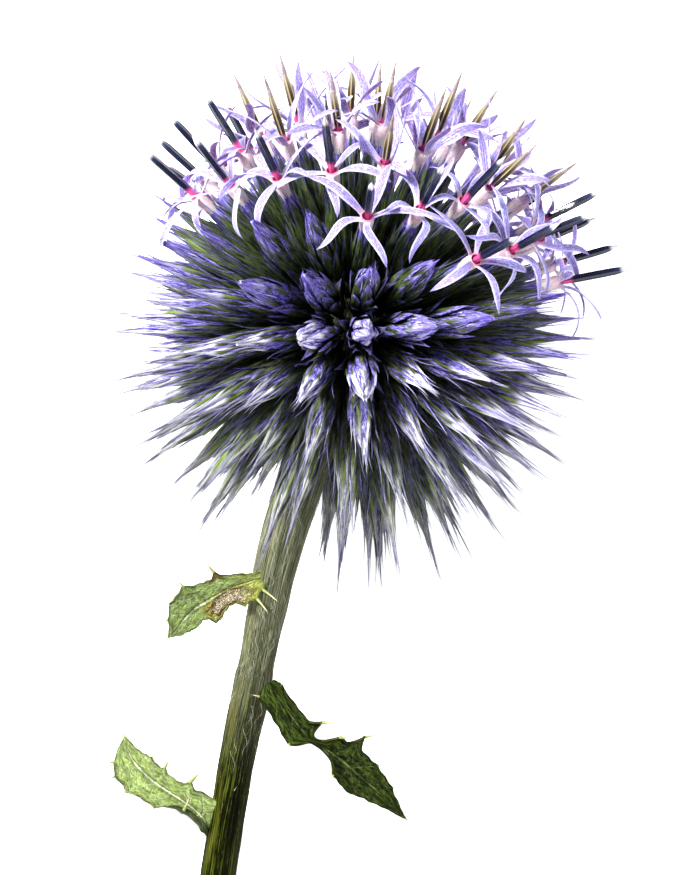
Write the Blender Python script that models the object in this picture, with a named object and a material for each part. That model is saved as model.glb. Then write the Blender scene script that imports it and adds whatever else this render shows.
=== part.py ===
"""A globe thistle's flower head, cut with a length of its stem and laid down.

The head is a ball of florets that grow out of the round top of the stem, in spiral order. The
florets round the top of the ball are open, and the others are still closed buds. Three small
prickly leaves sit on the stem.

Everything is modelled in the head's own frame, in metres: the middle of the ball is at the
origin, +Z is the way the head points, and -Y is the side that faces up once it lies down.
"""

import math

import bmesh
import bpy
import numpy as np
from mathutils import Matrix, Vector

MM = 0.001

# The spiral: each floret stands one turn further round and one step lower than the last
SPIRAL_STEPS = 172
SPIRAL_TURN = math.radians(49.206)
SPIRAL_START = math.radians(100.6)
LEAST_ANGLE = math.radians(14.2)  # between neighbours; nearer ones push each other apart
PUSHES = 30

# The florets: distances are measured from the middle of the ball
SIDES = 5
BUD_TIP = 24.3 * MM
FOOT = 5.7 * MM
FOOT_SPREAD = 34.0  # degrees by which the lowest florets' feet stand off the stem's line
FOOT_RADIUS = 0.42 * MM
BELLY = 14.0 * MM
BELLY_RADIUS = 1.42 * MM
SHOULDER = 19.6 * MM
SHOULDER_RADIUS = 0.98 * MM
OPEN_AXIS = Vector((0.035, 0.035, 1.0)).normalized()
OPEN_ANGLE = math.radians(65.7)  # florets nearer the open axis than this are open

# An open floret's flower: a tube, five lobes that curl back, and the anthers round the style
TUBE_FOOT = 19.9 * MM
TUBE_RADIUS = 0.58 * MM
THROAT_LOW = 22.2 * MM
THROAT_HIGH = 22.7 * MM
THROAT_RADIUS = 0.85 * MM
LOBE_CREST = 23.4 * MM
LOBE_REACH = 2.15 * MM
LOBE_WIDTH = 1.0 * MM
LOBE_THICKNESS = 0.3 * MM
LOBE_TIP = 20.4 * MM
ANTHER_RADIUS = 0.42 * MM
ANTHER_TOP = 28.1 * MM
STYLE_TIP = 29.6 * MM

# The closed buds, joined at the foot into six tufts round the head
TUFTS = ("front", "front_right", "back_right", "back", "back_left", "front_left")
TUFT_FLOOR = 5.3 * MM
TUFT_TOP = 6.0 * MM
TUFT_GAP = 0.2 * MM

# The stem: x and z of its middle line with its radius, from the cut end up, and its round top
STEM_SIDES = 14
STEM_LINE = (
    (-1.50, -66.5, 1.90),
    (-1.95, -58.0, 1.88),
    (-2.45, -47.0, 1.88),
    (-2.50, -39.0, 1.95),
    (-2.55, -36.0, 1.85),
    (-2.70, -25.2, 2.28),
    (-2.10, -17.0, 2.45),
    (-1.00, -9.5, 2.20),
    (-0.25, -5.8, 1.90),
)
RECEPTACLE = 5.0 * MM
RECEPTACLE_RINGS = 7
STEM_CLEARANCE = math.radians(11.5)  # no floret stands nearer than this to the stem
STEM_HOLE = math.radians(31)  # half the angle of the bare ground round the stem

# The leaves: middle line x, y, z with the width either side, from the stem out
LEAF_THICKNESS = 0.36 * MM
LEAF_FOLD = 0.35  # rise of each half for its width
LEAVES = {
    "leaf_upper_left": (
        (0.25, -1.0, 0.15),
        (
            (-5.2, -1.9, -28.4, 0.9),
            (-6.6, -2.1, -29.4, 1.9),
            (-8.3, -2.3, -30.7, 2.2),
            (-10.0, -2.4, -32.2, 1.7),
            (-11.3, -2.2, -34.0, 1.0),
            (-12.2, -1.9, -35.3, 0.15),
        ),
    ),
    "leaf_right": (
        (0.30, -1.0, 0.10),
        (
            (0.6, -2.0, -39.6, 1.1),
            (2.2, -2.1, -41.0, 1.7),
            (4.7, -1.8, -42.7, 0.6),
            (7.0, -1.0, -43.7, 1.7),
            (10.1, 0.3, -45.6, 2.4),
            (13.2, 1.6, -47.6, 1.4),
            (16.1, 2.6, -49.5, 0.15),
        ),
    ),
    "leaf_lower_left": (
        (-0.25, -1.0, 0.10),
        (
            (-4.7, -0.4, -53.9, 0.7),
            (-6.4, -0.5, -52.9, 1.6),
            (-8.6, -0.4, -51.6, 2.5),
            (-11.0, 0.0, -50.2, 2.6),
            (-13.2, 0.6, -48.8, 1.6),
            (-14.6, 1.1, -47.2, 0.15),
        ),
    ),
}

# The head rests on its cut end and on two florets, counted along the spiral from 0
BEARING_FLORETS = (116, 123)

# Colour and roughness of each material
MATERIALS = {
    "stem": ((0.36, 0.38, 0.25), 0.8),
    "leaf": ((0.13, 0.24, 0.06), 0.6),
    "bracts": ((0.17, 0.18, 0.30), 0.7),
    "corolla": ((0.62, 0.56, 0.86), 0.6),
}


def clear_scene():
    """Take away everything that the file opened with."""
    for thing in list(bpy.data.objects):
        bpy.data.objects.remove(thing, do_unlink=True)


def make_materials():
    """One plain Principled material for each kind of tissue."""
    made = {}
    for name, (colour, roughness) in MATERIALS.items():
        material = bpy.data.materials.new(name)
        material.use_nodes = True
        shader = material.node_tree.nodes["Principled BSDF"]
        shader.inputs["Base Color"].default_value = (*colour, 1.0)
        shader.inputs["Roughness"].default_value = roughness
        shader.inputs["Metallic"].default_value = 0.0
        made[name] = material
    return made


def add_object(name, bm, material, smooth=False):
    """Turn a closed bmesh into an object whose faces point out."""
    bmesh.ops.recalc_face_normals(bm, faces=bm.faces)
    mesh = bpy.data.meshes.new(name)
    bm.to_mesh(mesh)
    bm.free()
    mesh.materials.append(material)
    if smooth:
        mesh.shade_smooth()
        mesh.set_sharp_from_angle(angle=math.radians(50))
    made = bpy.data.objects.new(name, mesh)
    bpy.context.collection.objects.link(made)
    return made


def ring(bm, centre, across, along, radius, angles):
    """Vertices round a centre, at the angles given in the plane of two unit vectors."""
    return [
        bm.verts.new(centre + radius * (math.cos(a) * across + math.sin(a) * along))
        for a in angles
    ]


def join_rings(bm, lower, upper):
    """A band of faces between two rings with the same number of vertices."""
    for k in range(len(lower)):
        after = (k + 1) % len(lower)
        bm.faces.new((lower[k], lower[after], upper[after], upper[k]))


def close_to_point(bm, edge, point):
    """A cone of triangles from a ring to a point."""
    tip = bm.verts.new(point)
    for k in range(len(edge)):
        bm.faces.new((edge[k], edge[(k + 1) % len(edge)], tip))


# ---------------------------------------------------------------------------------------------
# Where the florets stand
# ---------------------------------------------------------------------------------------------


def spiral_directions():
    """Unit vectors from the middle of the ball to every floret, from the top down."""
    steps = np.arange(1, SPIRAL_STEPS)
    height = 1 - 2 * steps / SPIRAL_STEPS
    across = np.sqrt(1 - height**2)
    turn = SPIRAL_START + SPIRAL_TURN * steps
    places = np.stack([across * np.cos(turn), across * np.sin(turn), height], axis=1)
    least = 2 * math.sin(LEAST_ANGLE / 2)
    for _ in range(PUSHES):
        apart = places[:, None] - places[None]
        distance = np.linalg.norm(apart, axis=2)
        np.fill_diagonal(distance, 2 * least)
        push = np.maximum(0, least - distance) / distance
        places = places + 0.5 * (apart * push[:, :, None]).sum(axis=1)
        places /= np.linalg.norm(places, axis=1)[:, None]
    return [Vector(place) for place in places]


def has_room(direction):
    """Whether a floret stands clear of the stem."""
    x, z, _ = STEM_LINE[5]
    return direction.angle(Vector((x, 0, z))) > STEM_CLEARANCE


def foot_direction(direction):
    """Where a floret's foot stands on the ball: the lowest ones make room for the stem."""
    below = Vector((0, 0, -1))
    off_stem = math.degrees(direction.angle(below))
    spread = FOOT_SPREAD * (1 - off_stem / 180)
    turn = math.radians(math.hypot(off_stem, spread) - off_stem)
    return Matrix.Rotation(turn, 3, below.cross(direction)) @ direction


def sideways(line):
    """Two unit vectors square to a floret's line and to each other."""
    foot, tip = line
    onwards = (tip - foot).normalized()
    across = onwards.orthogonal().normalized()
    return across, onwards.cross(across)


def along_line(line, reach):
    """The point of a floret's line at a distance from the middle of the ball."""
    foot, tip = line
    return foot.lerp(tip, (reach - FOOT) / (BUD_TIP - FOOT))


def tuft_of(direction):
    """Which sixth of the turn round the head a bud stands in, the first facing -Y."""
    sixth = math.tau / len(TUFTS)
    turn = math.atan2(direction.y, direction.x) + math.pi / 2 + sixth / 2
    return TUFTS[int(turn % math.tau // sixth)]


# ---------------------------------------------------------------------------------------------
# The closed buds
# ---------------------------------------------------------------------------------------------


def off_the_stem(corner):
    """A corner of the ground, moved out to the stem's edge if it lies under the stem."""
    below = Vector((0, 0, -1))
    inside = STEM_HOLE - corner.angle(below)
    if inside <= 0:
        return corner.copy()
    return Matrix.Rotation(inside, 3, below.cross(corner)) @ corner


def ground_cells(lines):
    """The patch of ground round each foot: its corners in order, each shared by three florets."""
    bm = bmesh.new()
    for foot, _ in lines:
        bm.verts.new(foot)
    bm.verts.new((0, 0, -FOOT))
    bmesh.ops.convex_hull(bm, input=bm.verts)
    bm.verts.index_update()
    bm.normal_update()
    cells = []
    for vert, line in zip(bm.verts, lines):
        across, along = sideways(line)
        corners = []
        for face in vert.link_faces:
            corner = face.normal if face.normal.dot(line[0]) > 0 else -face.normal
            offset = corner - line[0].normalized()
            turn = math.atan2(offset.dot(along), offset.dot(across))
            owners = frozenset(v.index for v in face.verts)
            corners.append((turn, owners, off_the_stem(corner)))
        cells.append(sorted(corners, key=lambda corner: corner[0]))
    bm.free()
    return cells


def tuft_ground(bm, members, lines, cells):
    """The corners of the tuft's patch of ground, below and above, drawn in along its edge."""
    floor, top = {}, {}
    for owners, corner in {key: corner for n in members for _, key, corner in cells[n]}.items():
        ours = [lines[n][0].normalized() for n in sorted(owners) if n in members]
        shift = Vector()
        if len(ours) < len(owners):
            shift = TUFT_GAP * (sum(ours, Vector()) / len(ours) - corner).normalized()
        floor[owners] = bm.verts.new(corner * TUFT_FLOOR + shift)
        top[owners] = bm.verts.new(corner * TUFT_TOP + shift)
    return floor, top


def make_tuft(name, members, lines, cells, material):
    """Neighbouring closed buds, grown together at the foot: one closed body."""
    bm = bmesh.new()
    floor, top = tuft_ground(bm, members, lines, cells)
    for number in members:
        line = lines[number]
        keys = [owners for _, owners, _ in cells[number]]
        bm.faces.new([floor[key] for key in reversed(keys)])
        for key, after in zip(keys, keys[1:] + keys[:1]):
            if not key & after <= set(members):
                bm.faces.new((floor[key], floor[after], top[after], top[key]))
        across, along = sideways(line)
        angles = [turn for turn, _, _ in cells[number]]
        belly = ring(bm, along_line(line, BELLY), across, along, BELLY_RADIUS, angles)
        shoulder = ring(bm, along_line(line, SHOULDER), across, along, SHOULDER_RADIUS, angles)
        join_rings(bm, [top[key] for key in keys], belly)
        join_rings(bm, belly, shoulder)
        close_to_point(bm, shoulder, line[1])
    return add_object(name, bm, material)


# ---------------------------------------------------------------------------------------------
# The open florets
# ---------------------------------------------------------------------------------------------


def add_lobe(bm, edge, line):
    """One lobe of the flower, out of a side of the throat, over its crest and back down."""
    onwards = (line[1] - line[0]).normalized()
    middle = sum((v.co for v in edge), Vector()) / len(edge) - line[0]
    outwards = (middle - middle.dot(onwards) * onwards).normalized()
    beside = onwards.cross(outwards)
    crest = along_line(line, LOBE_CREST) + outwards * LOBE_REACH
    up = (onwards + outwards).normalized() * LOBE_THICKNESS / 2
    half = beside * LOBE_WIDTH / 2
    corners = [
        bm.verts.new(crest + place)
        for place in (-half - up, half - up, half + up, -half + up)
    ]
    join_rings(bm, edge, corners)
    close_to_point(bm, corners, along_line(line, LOBE_TIP) + outwards * LOBE_REACH)


def make_open_floret(name, line, material):
    """An open floret: a closed body of its bracts, tube, lobes, anthers and style."""
    bm = bmesh.new()
    across, along = sideways(line)
    angles = [math.tau * k / SIDES for k in range(SIDES)]

    def level(reach, radius):
        return ring(bm, along_line(line, reach), across, along, radius, angles)

    foot = level(FOOT, FOOT_RADIUS)
    bm.faces.new(list(reversed(foot)))
    below = foot
    for reach, radius in (
        (BELLY, BELLY_RADIUS),
        (SHOULDER, SHOULDER_RADIUS),
        (TUBE_FOOT, TUBE_RADIUS),
        (THROAT_LOW, THROAT_RADIUS),
    ):
        above = level(reach, radius)
        join_rings(bm, below, above)
        below = above
    throat = level(THROAT_HIGH, THROAT_RADIUS)
    for k in range(SIDES):
        after = (k + 1) % SIDES
        add_lobe(bm, (below[k], below[after], throat[after], throat[k]), line)
    anther_foot = level(THROAT_HIGH, ANTHER_RADIUS)
    anther_top = level(ANTHER_TOP, ANTHER_RADIUS)
    join_rings(bm, throat, anther_foot)
    join_rings(bm, anther_foot, anther_top)
    close_to_point(bm, anther_top, along_line(line, STYLE_TIP))
    return add_object(name, bm, material)


# ---------------------------------------------------------------------------------------------
# The stem and its leaves
# ---------------------------------------------------------------------------------------------


def make_stem(material):
    """The stem from its cut end to its round top, which the florets stand on."""
    bm = bmesh.new()
    angles = [math.tau * k / STEM_SIDES for k in range(STEM_SIDES)]
    side, back = Vector((1, 0, 0)), Vector((0, 1, 0))
    rings = [
        ring(bm, Vector((x, 0, z)) * MM, side, back, radius * MM, angles)
        for x, z, radius in STEM_LINE
    ]
    neck = math.asin(STEM_LINE[-1][2] * MM / RECEPTACLE)
    for step in range(RECEPTACLE_RINGS):
        turn = neck + (math.radians(172) - neck) * step / (RECEPTACLE_RINGS - 1)
        centre = Vector((0, 0, -math.cos(turn) * RECEPTACLE))
        rings.append(ring(bm, centre, side, back, math.sin(turn) * RECEPTACLE, angles))
    for lower, upper in zip(rings, rings[1:]):
        join_rings(bm, lower, upper)
    bm.faces.new(list(reversed(rings[0])))
    bm.faces.new(rings[-1])
    return add_object("stem", bm, material, smooth=True)


def make_leaf(name, face, stations, material):
    """A leaf as a thin closed blade, folded a little along its middle rib."""
    bm = bmesh.new()
    face = Vector(face).normalized()
    line = [Vector(station[:3]) * MM for station in stations]
    sections = []
    for k, (point, station) in enumerate(zip(line, stations)):
        onwards = line[min(k + 1, len(line) - 1)] - line[max(k - 1, 0)]
        beside = face.cross(onwards).normalized() * station[3] * MM
        rise = face * station[3] * MM * LEAF_FOLD
        up = face * LEAF_THICKNESS / 2
        upper = (point + beside + rise + up, point + up, point - beside + rise + up)
        lower = (point - beside + rise - up, point - up, point + beside + rise - up)
        sections.append([bm.verts.new(corner) for corner in upper + lower])
    for inner, outer in zip(sections, sections[1:]):
        join_rings(bm, inner, outer)
    for end in (sections[0], sections[-1]):
        bm.faces.new((end[0], end[1], end[4], end[5]))
        bm.faces.new((end[1], end[2], end[3], end[4]))
    return add_object(name, bm, material)


# ---------------------------------------------------------------------------------------------
# Laying the head down
# ---------------------------------------------------------------------------------------------


def resting_turn(lines):
    """The turn that sets the cut end's rim and the two bearing florets on one level."""
    first, second = (lines[number][1] for number in BEARING_FLORETS)
    x, z, radius = STEM_LINE[0]
    cut_end = Vector((x, 0, z)) * MM
    down = Vector((0, 1, 0))
    for _ in range(4):
        rim = cut_end + Vector((down.x, down.y, 0)).normalized() * radius * MM
        down = (first - rim).cross(second - rim).normalized()
        if down.dot(first) < 0:
            down = -down
    up = -down
    forwards = (Vector((0, 0, 1)) - up.z * up).normalized()
    return Matrix((forwards.cross(up), forwards, up)).to_4x4()


def lay_down(pieces, lines):
    """Parent the pieces to one empty, which lays them on the floor round the origin."""
    turn = resting_turn(lines)
    corners = np.array([(turn @ v.co)[:] for piece in pieces for v in piece.data.vertices])
    low, high = corners.min(axis=0), corners.max(axis=0)
    shift = Vector((-(low[0] + high[0]) / 2, -(low[1] + high[1]) / 2, -low[2]))
    holder = bpy.data.objects.new("lying_head", None)
    bpy.context.collection.objects.link(holder)
    holder.matrix_world = Matrix.Translation(shift) @ turn
    for piece in pieces:
        piece.parent = holder


clear_scene()
materials = make_materials()
tips = spiral_directions()
floret_lines = [(foot_direction(tip) * FOOT, tip * BUD_TIP) for tip in tips]
ground = ground_cells(floret_lines)
florets = [n for n, tip in enumerate(tips) if has_room(tip)]
open_florets = [n for n in florets if tips[n].angle(OPEN_AXIS) < OPEN_ANGLE]

parts = [make_stem(materials["stem"])]
for leaf_name, (leaf_face, leaf_stations) in LEAVES.items():
    parts.append(make_leaf(leaf_name, leaf_face, leaf_stations, materials["leaf"]))
for count, number in enumerate(open_florets, start=1):
    floret_name = f"open_floret_{count:02d}"
    parts.append(make_open_floret(floret_name, floret_lines[number], materials["corolla"]))
for tuft in TUFTS:
    buds = [n for n in florets if n not in open_florets and tuft_of(tips[n]) == tuft]
    parts.append(make_tuft(f"buds_{tuft}", buds, floret_lines, ground, materials["bracts"]))
lay_down(parts, floret_lines)
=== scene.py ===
import math

import bmesh
import bpy
import numpy as np
from mathutils import Matrix, Vector


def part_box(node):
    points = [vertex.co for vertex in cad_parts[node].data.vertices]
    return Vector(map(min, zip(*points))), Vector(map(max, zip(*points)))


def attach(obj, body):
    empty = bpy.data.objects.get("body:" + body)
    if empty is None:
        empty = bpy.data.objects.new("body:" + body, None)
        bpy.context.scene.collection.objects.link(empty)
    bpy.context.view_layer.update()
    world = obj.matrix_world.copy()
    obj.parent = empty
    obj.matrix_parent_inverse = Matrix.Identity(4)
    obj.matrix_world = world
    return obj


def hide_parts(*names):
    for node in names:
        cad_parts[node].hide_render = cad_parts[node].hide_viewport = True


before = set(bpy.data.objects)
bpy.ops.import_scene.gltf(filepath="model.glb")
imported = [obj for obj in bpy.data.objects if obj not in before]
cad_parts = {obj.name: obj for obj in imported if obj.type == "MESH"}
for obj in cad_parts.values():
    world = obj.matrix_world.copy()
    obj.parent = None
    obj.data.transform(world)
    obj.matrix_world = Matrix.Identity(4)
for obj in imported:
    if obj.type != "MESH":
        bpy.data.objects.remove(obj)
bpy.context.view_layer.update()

# ---------------------------------------------------------------------------------------------
# The plan of the head. A globe thistle's florets stand on a ball in one spiral, each a little
# lower than the last, and push one another apart. The head is worked on upright, in
# millimetres round the middle of its ball, and is then laid on the floor as the CAD lies.
# ---------------------------------------------------------------------------------------------

MM = 0.001
SPIRAL_STEPS = 172
SPIRAL_TURN = math.radians(49.206)
SPIRAL_START = math.radians(100.6)
LEAST_ANGLE = math.radians(14.2)
PUSHES = 30
FOOT = 5.7
FOOT_SPREAD = 34.0
BUD_TIP = 24.3
STYLE_TIP = 29.6
STEM_SPOT = Vector((-2.7, 0.0, -25.2))
STEM_CLEARANCE = math.radians(11.5)
OPEN_AXIS = Vector((0.035, 0.035, 1.0)).normalized()
OPEN_ANGLE = math.radians(65.7)
TUFTS = ("front", "front_right", "back_right", "back", "back_left", "front_left")
CUT_END = Vector((-1.5, 0.0, -66.5))
CUT_RADIUS = 1.9
BEARING_FLORETS = (116, 123)


def rows(*numbers):
    """The given numbers side by side, one row for each point."""
    return np.stack(np.broadcast_arrays(*numbers), axis=1)


def unit(vectors):
    """The same directions, each one long."""
    return vectors / np.linalg.norm(vectors, axis=-1, keepdims=True)


def spiral_directions():
    """The florets' directions, from the top of the ball down to its stem."""
    steps = np.arange(1, SPIRAL_STEPS)
    height = 1 - 2 * steps / SPIRAL_STEPS
    across = np.sqrt(1 - height**2)
    turn = SPIRAL_START + SPIRAL_TURN * steps
    places = rows(across * np.cos(turn), across * np.sin(turn), height)
    least = 2 * math.sin(LEAST_ANGLE / 2)
    for _ in range(PUSHES):
        apart = places[:, None] - places[None]
        distance = np.linalg.norm(apart, axis=2)
        np.fill_diagonal(distance, 2 * least)
        push = np.maximum(0, least - distance) / distance
        places = unit(places + 0.5 * (apart * push[:, :, None]).sum(axis=1))
    return [Vector(place) for place in places]


def foot_direction(direction):
    """Where a floret's foot stands, drawn away from the stem."""
    below = Vector((0, 0, -1))
    off_stem = math.degrees(direction.angle(below))
    spread = FOOT_SPREAD * (1 - off_stem / 180)
    turn = math.radians(math.hypot(off_stem, spread) - off_stem)
    return Matrix.Rotation(turn, 3, below.cross(direction)) @ direction


def tuft_of(direction):
    """The sixth of the ball that a floret stands in."""
    sixth = math.tau / len(TUFTS)
    turn = math.atan2(direction.y, direction.x) + math.pi / 2 + sixth / 2
    return TUFTS[int(turn % math.tau // sixth)]


def resting_turn():
    """The turn that sets the cut end's rim and the two bearing florets on one level."""
    first, second = (tips[number] * BUD_TIP for number in BEARING_FLORETS)
    down = Vector((0, 1, 0))
    for _ in range(4):
        rim = CUT_END + Vector((down.x, down.y, 0)).normalized() * CUT_RADIUS
        down = (first - rim).cross(second - rim).normalized()
        if down.dot(first) < 0:
            down = -down
    up = -down
    forwards = (Vector((0, 0, 1)) - up.z * up).normalized()
    return Matrix((forwards.cross(up), forwards, up))


tips = spiral_directions()
florets = [n for n, tip in enumerate(tips) if tip.angle(STEM_SPOT) > STEM_CLEARANCE]
open_florets = [n for n in florets if tips[n].angle(OPEN_AXIS) < OPEN_ANGLE]
closed_florets = [n for n in florets if n not in open_florets]
open_nodes = {n: f"open_floret_{k:02d}" for k, n in enumerate(open_florets, start=1)}

lying = resting_turn()
top_floret = open_florets[0]
right_floret = max(open_florets, key=lambda n: (lying @ tips[n]).x)
middle = Vector(
    (
        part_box(open_nodes[right_floret])[1].x - (lying @ tips[right_floret]).x * STYLE_TIP * MM,
        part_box(open_nodes[top_floret])[1].y - (lying @ tips[top_floret]).y * STYLE_TIP * MM,
        -(lying @ tips[BEARING_FLORETS[0]]).z * BUD_TIP * MM,
    )
)


def laid(points):
    """Points of the upright head in millimetres, moved to where the head lies."""
    return np.asarray(points, float) @ np.array(lying).T * MM + np.array(middle)


# ---------------------------------------------------------------------------------------------
# The stem, with the round receptacle that the florets stand on. It is a green, faintly ribbed
# stalk under a coat of white wool that is thick near the head and worn away lower down. It is
# drawn out section by section and cut square at its foot, where the pale pith shows.
# ---------------------------------------------------------------------------------------------

STEM_LINE = (
    (-1.5, -66.5, 1.9),
    (-1.95, -58.0, 1.86),
    (-2.45, -47.0, 1.86),
    (-2.5, -39.0, 2.02),
    (-2.55, -36.0, 1.84),
    (-2.64, -31.0, 2.02),
    (-2.7, -25.2, 2.26),
    (-2.1, -17.0, 2.42),
    (-1.0, -9.5, 2.18),
    (-0.25, -5.0, 1.88),
)
STEM_FACETS = 64
STEM_SECTIONS = 90
STEM_RIBS = 11
RIB_HEIGHT = 0.055
RECEPTACLE = 5.0
STALK_TOP = -5.2
PITH_RADIUS = 1.45


def deselect():
    """Leaves nothing selected, as the CAD nodes are after they are loaded."""
    bpy.ops.object.select_all(action="DESELECT")


def smooth_line(values, count):
    """Evenly spaced values on a smooth curve through the given rows."""
    knots = np.asarray(values, float)
    before, after = 2 * knots[0] - knots[1], 2 * knots[-1] - knots[-2]
    knots = np.concatenate([[before], knots, [after]])
    spots = np.linspace(0, len(values) - 1, count)
    at = np.minimum(spots.astype(int), len(values) - 2)
    t = (spots - at)[:, None]
    a, b, c, d = (knots[at + k] for k in range(4))
    square, cube = 2 * a - 5 * b + 4 * c - d, 3 * b - a - 3 * c + d
    return 0.5 * (2 * b + (c - a) * t + square * t**2 + cube * t**3)


def ring(count, start=0.0):
    """Places round a circle of radius 1."""
    turns = [start + k * math.tau / count for k in range(count)]
    return [(math.cos(turn), math.sin(turn)) for turn in turns]


def face_outwards():
    """Turns every face of the mesh being edited outwards and ends the editing."""
    bpy.ops.mesh.select_all(action="SELECT")
    bpy.ops.mesh.normals_make_consistent(inside=False)
    bpy.ops.object.mode_set(mode="OBJECT")


def finish_piece(piece, name, material, smooth=180):
    """Names a piece, gives it its material and rounds its shading."""
    piece.name = piece.data.name = name
    piece.data.materials.clear()
    piece.data.materials.append(material)
    deselect()
    piece.select_set(True)
    bpy.context.view_layer.objects.active = piece
    bpy.ops.object.shade_smooth_by_angle(angle=math.radians(smooth))
    return piece


def corners_of(piece):
    corners = np.empty(len(piece.data.vertices) * 3)
    piece.data.vertices.foreach_get("co", corners)
    return corners.reshape(-1, 3)


def set_corners(piece, corners):
    piece.data.vertices.foreach_set("co", np.asarray(corners, float).ravel())
    piece.data.update()


def note(piece, name, values):
    """Writes three numbers on each corner, for the material to read."""
    layer = piece.data.attributes.new(name, "FLOAT_VECTOR", "POINT")
    layer.data.foreach_set("vector", np.asarray(values, float).ravel())


class Shade:
    """A socket of a material, so that its maths reads as it is said."""

    def __init__(self, tree, socket=None):
        self.tree, self.socket = tree, socket

    def node(self, kind, settings=None, output=0, **inputs):
        """Adds a node. An input is named by its number, as in i0, or by its own name."""
        made = self.tree.nodes.new("ShaderNode" + kind)
        for name, value in (settings or {}).items():
            setattr(made, name, value)
        for name, value in inputs.items():
            number = name[1:]
            socket = made.inputs[int(number) if number.isdigit() else name.replace("_", " ")]
            if isinstance(value, Shade):
                self.tree.links.new(value.socket, socket)
            else:
                socket.default_value = value
        return Shade(self.tree, made.outputs[output])

    def read(self, name):
        """The three numbers that a piece carries on its corners under a name."""
        return self.node("Attribute", {"attribute_name": name}, 1)

    def colour(self, red, green, blue):
        """A plain colour to start from."""
        plain = self.node("RGB")
        plain.socket.default_value = (red, green, blue, 1)
        return plain

    def maths(self, operation, other=0.0):
        return self.node("Math", {"operation": operation}, i0=self, i1=other)

    def __add__(self, other):
        return self.maths("ADD", other)

    def __mul__(self, other):
        return self.maths("MULTIPLY", other)

    def __sub__(self, other):
        return self.maths("SUBTRACT", other)

    __radd__, __rmul__ = __add__, __mul__

    def __rsub__(self, other):
        return self.node("Math", {"operation": "SUBTRACT"}, i0=other, i1=self)

    def __pow__(self, other):
        return self.maths("POWER", other)

    def __abs__(self):
        return self.maths("ABSOLUTE")

    def part(self, number):
        """One of the three numbers of a vector."""
        return self.node("SeparateXYZ", output=number, i0=self)

    def rise(self, low, high):
        """0 below low, 1 above high and smooth between; low may be the larger."""
        kind = {"interpolation_type": "SMOOTHSTEP"}
        if low < high:
            return self.node("MapRange", kind, Value=self, i1=low, i2=high)
        return 1 - self.node("MapRange", kind, Value=self, i1=high, i2=low)

    def stretched(self, x, y, z):
        """A vector with each of its numbers multiplied."""
        return self.node("VectorMath", {"operation": "MULTIPLY"}, i0=self, i1=(x, y, z))

    def moved(self, other):
        """This vector with another one added."""
        return self.node("VectorMath", {"operation": "ADD"}, i0=self, i1=other)

    def noise(self, scale, detail=3.0, roughness=0.55):
        """Noise about 0.5 at this vector, from 0 to 1."""
        return self.node("TexNoise", Vector=self, Scale=scale, Detail=detail, Roughness=roughness)

    def tinted(self, mask, colour):
        """This colour, turned to another one by a mask."""
        if isinstance(colour, tuple):
            colour = (*colour, 1)
        return self.node("Mix", {"data_type": "RGBA"}, 2, i0=mask, i6=self, i7=colour)

    def painted(self, *coats):
        """This colour under coats of others, each a mask and its colour."""
        colour = self
        for mask, coat_colour in coats:
            colour = colour.tinted(mask, coat_colour)
        return colour

    def times(self, value):
        """This colour, darkened by a number."""
        return self.node("VectorMath", {"operation": "SCALE"}, i0=self, Scale=value)


def new_material(name, **constants):
    """A material, its maths and its surface shader with the constants set."""
    material = bpy.data.materials.new(name)
    material.use_nodes = True
    surface = material.node_tree.nodes["Principled BSDF"]
    for socket, value in constants.items():
        surface.inputs[socket.replace("_", " ")].default_value = value
    return material, Shade(material.node_tree), surface


def coat(surface, colour, roughness=None, height=None, depth=0.0):
    """Joins a colour, a roughness and a height in metres to the surface shader."""
    links = surface.id_data.links
    links.new(colour.socket, surface.inputs["Base Color"])
    if roughness is not None:
        links.new(roughness.socket, surface.inputs["Roughness"])
    if height is not None:
        bump = colour.node("Bump", Height=height, Distance=depth, Strength=1.0)
        links.new(bump.socket, surface.inputs["Normal"])


stem_skin, shade, surface = new_material("stem_skin", Specular_IOR_Level=0.02)
grain = shade.read("grain")
along = grain.part(2)
streaks = grain.stretched(6.0, 6.0, 0.75).noise(2.2, 6.0, 0.7)
threads = grain.stretched(20.0, 20.0, 1.6).noise(1.6, 5.0, 0.65)
specks = grain.stretched(30.0, 30.0, 12.0).noise(1.5, 3.0, 0.6)
blotches = grain.stretched(1.6, 1.6, 1.1).noise(1.4, 3.0, 0.5)
# side runs across the stem from its left to its right as the camera sees it; what it lays on is
# painted light
side = grain.part(0) + (blotches - 0.5) * 0.35
woolly = along.rise(-5.0, -3.0)
green = shade.colour(0.007, 0.01, 0.001)
green = green.painted(
    (streaks.rise(0.51, 0.61), (0.19, 0.235, 0.02)),
    # painted light: lighter on the lit left side, a painted shade band right of the middle and a
    # painted highlight along the right edge
    (blotches.rise(0.46, 0.62) * side.rise(-0.2, -0.6) * 0.8, (0.15, 0.15, 0.012)),
    (side.rise(-0.15, 0.25) * side.rise(0.75, 0.5) * 0.92, (0.003, 0.005, 0.001)),
    (side.rise(0.55, 0.85) * 0.7, (0.06, 0.064, 0.026)),
)
wool = threads.rise(0.42, 0.62)
coated = green.tinted(0.75, (0.06, 0.066, 0.03)).tinted(wool * 0.85, (0.38, 0.38, 0.245))
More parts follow.
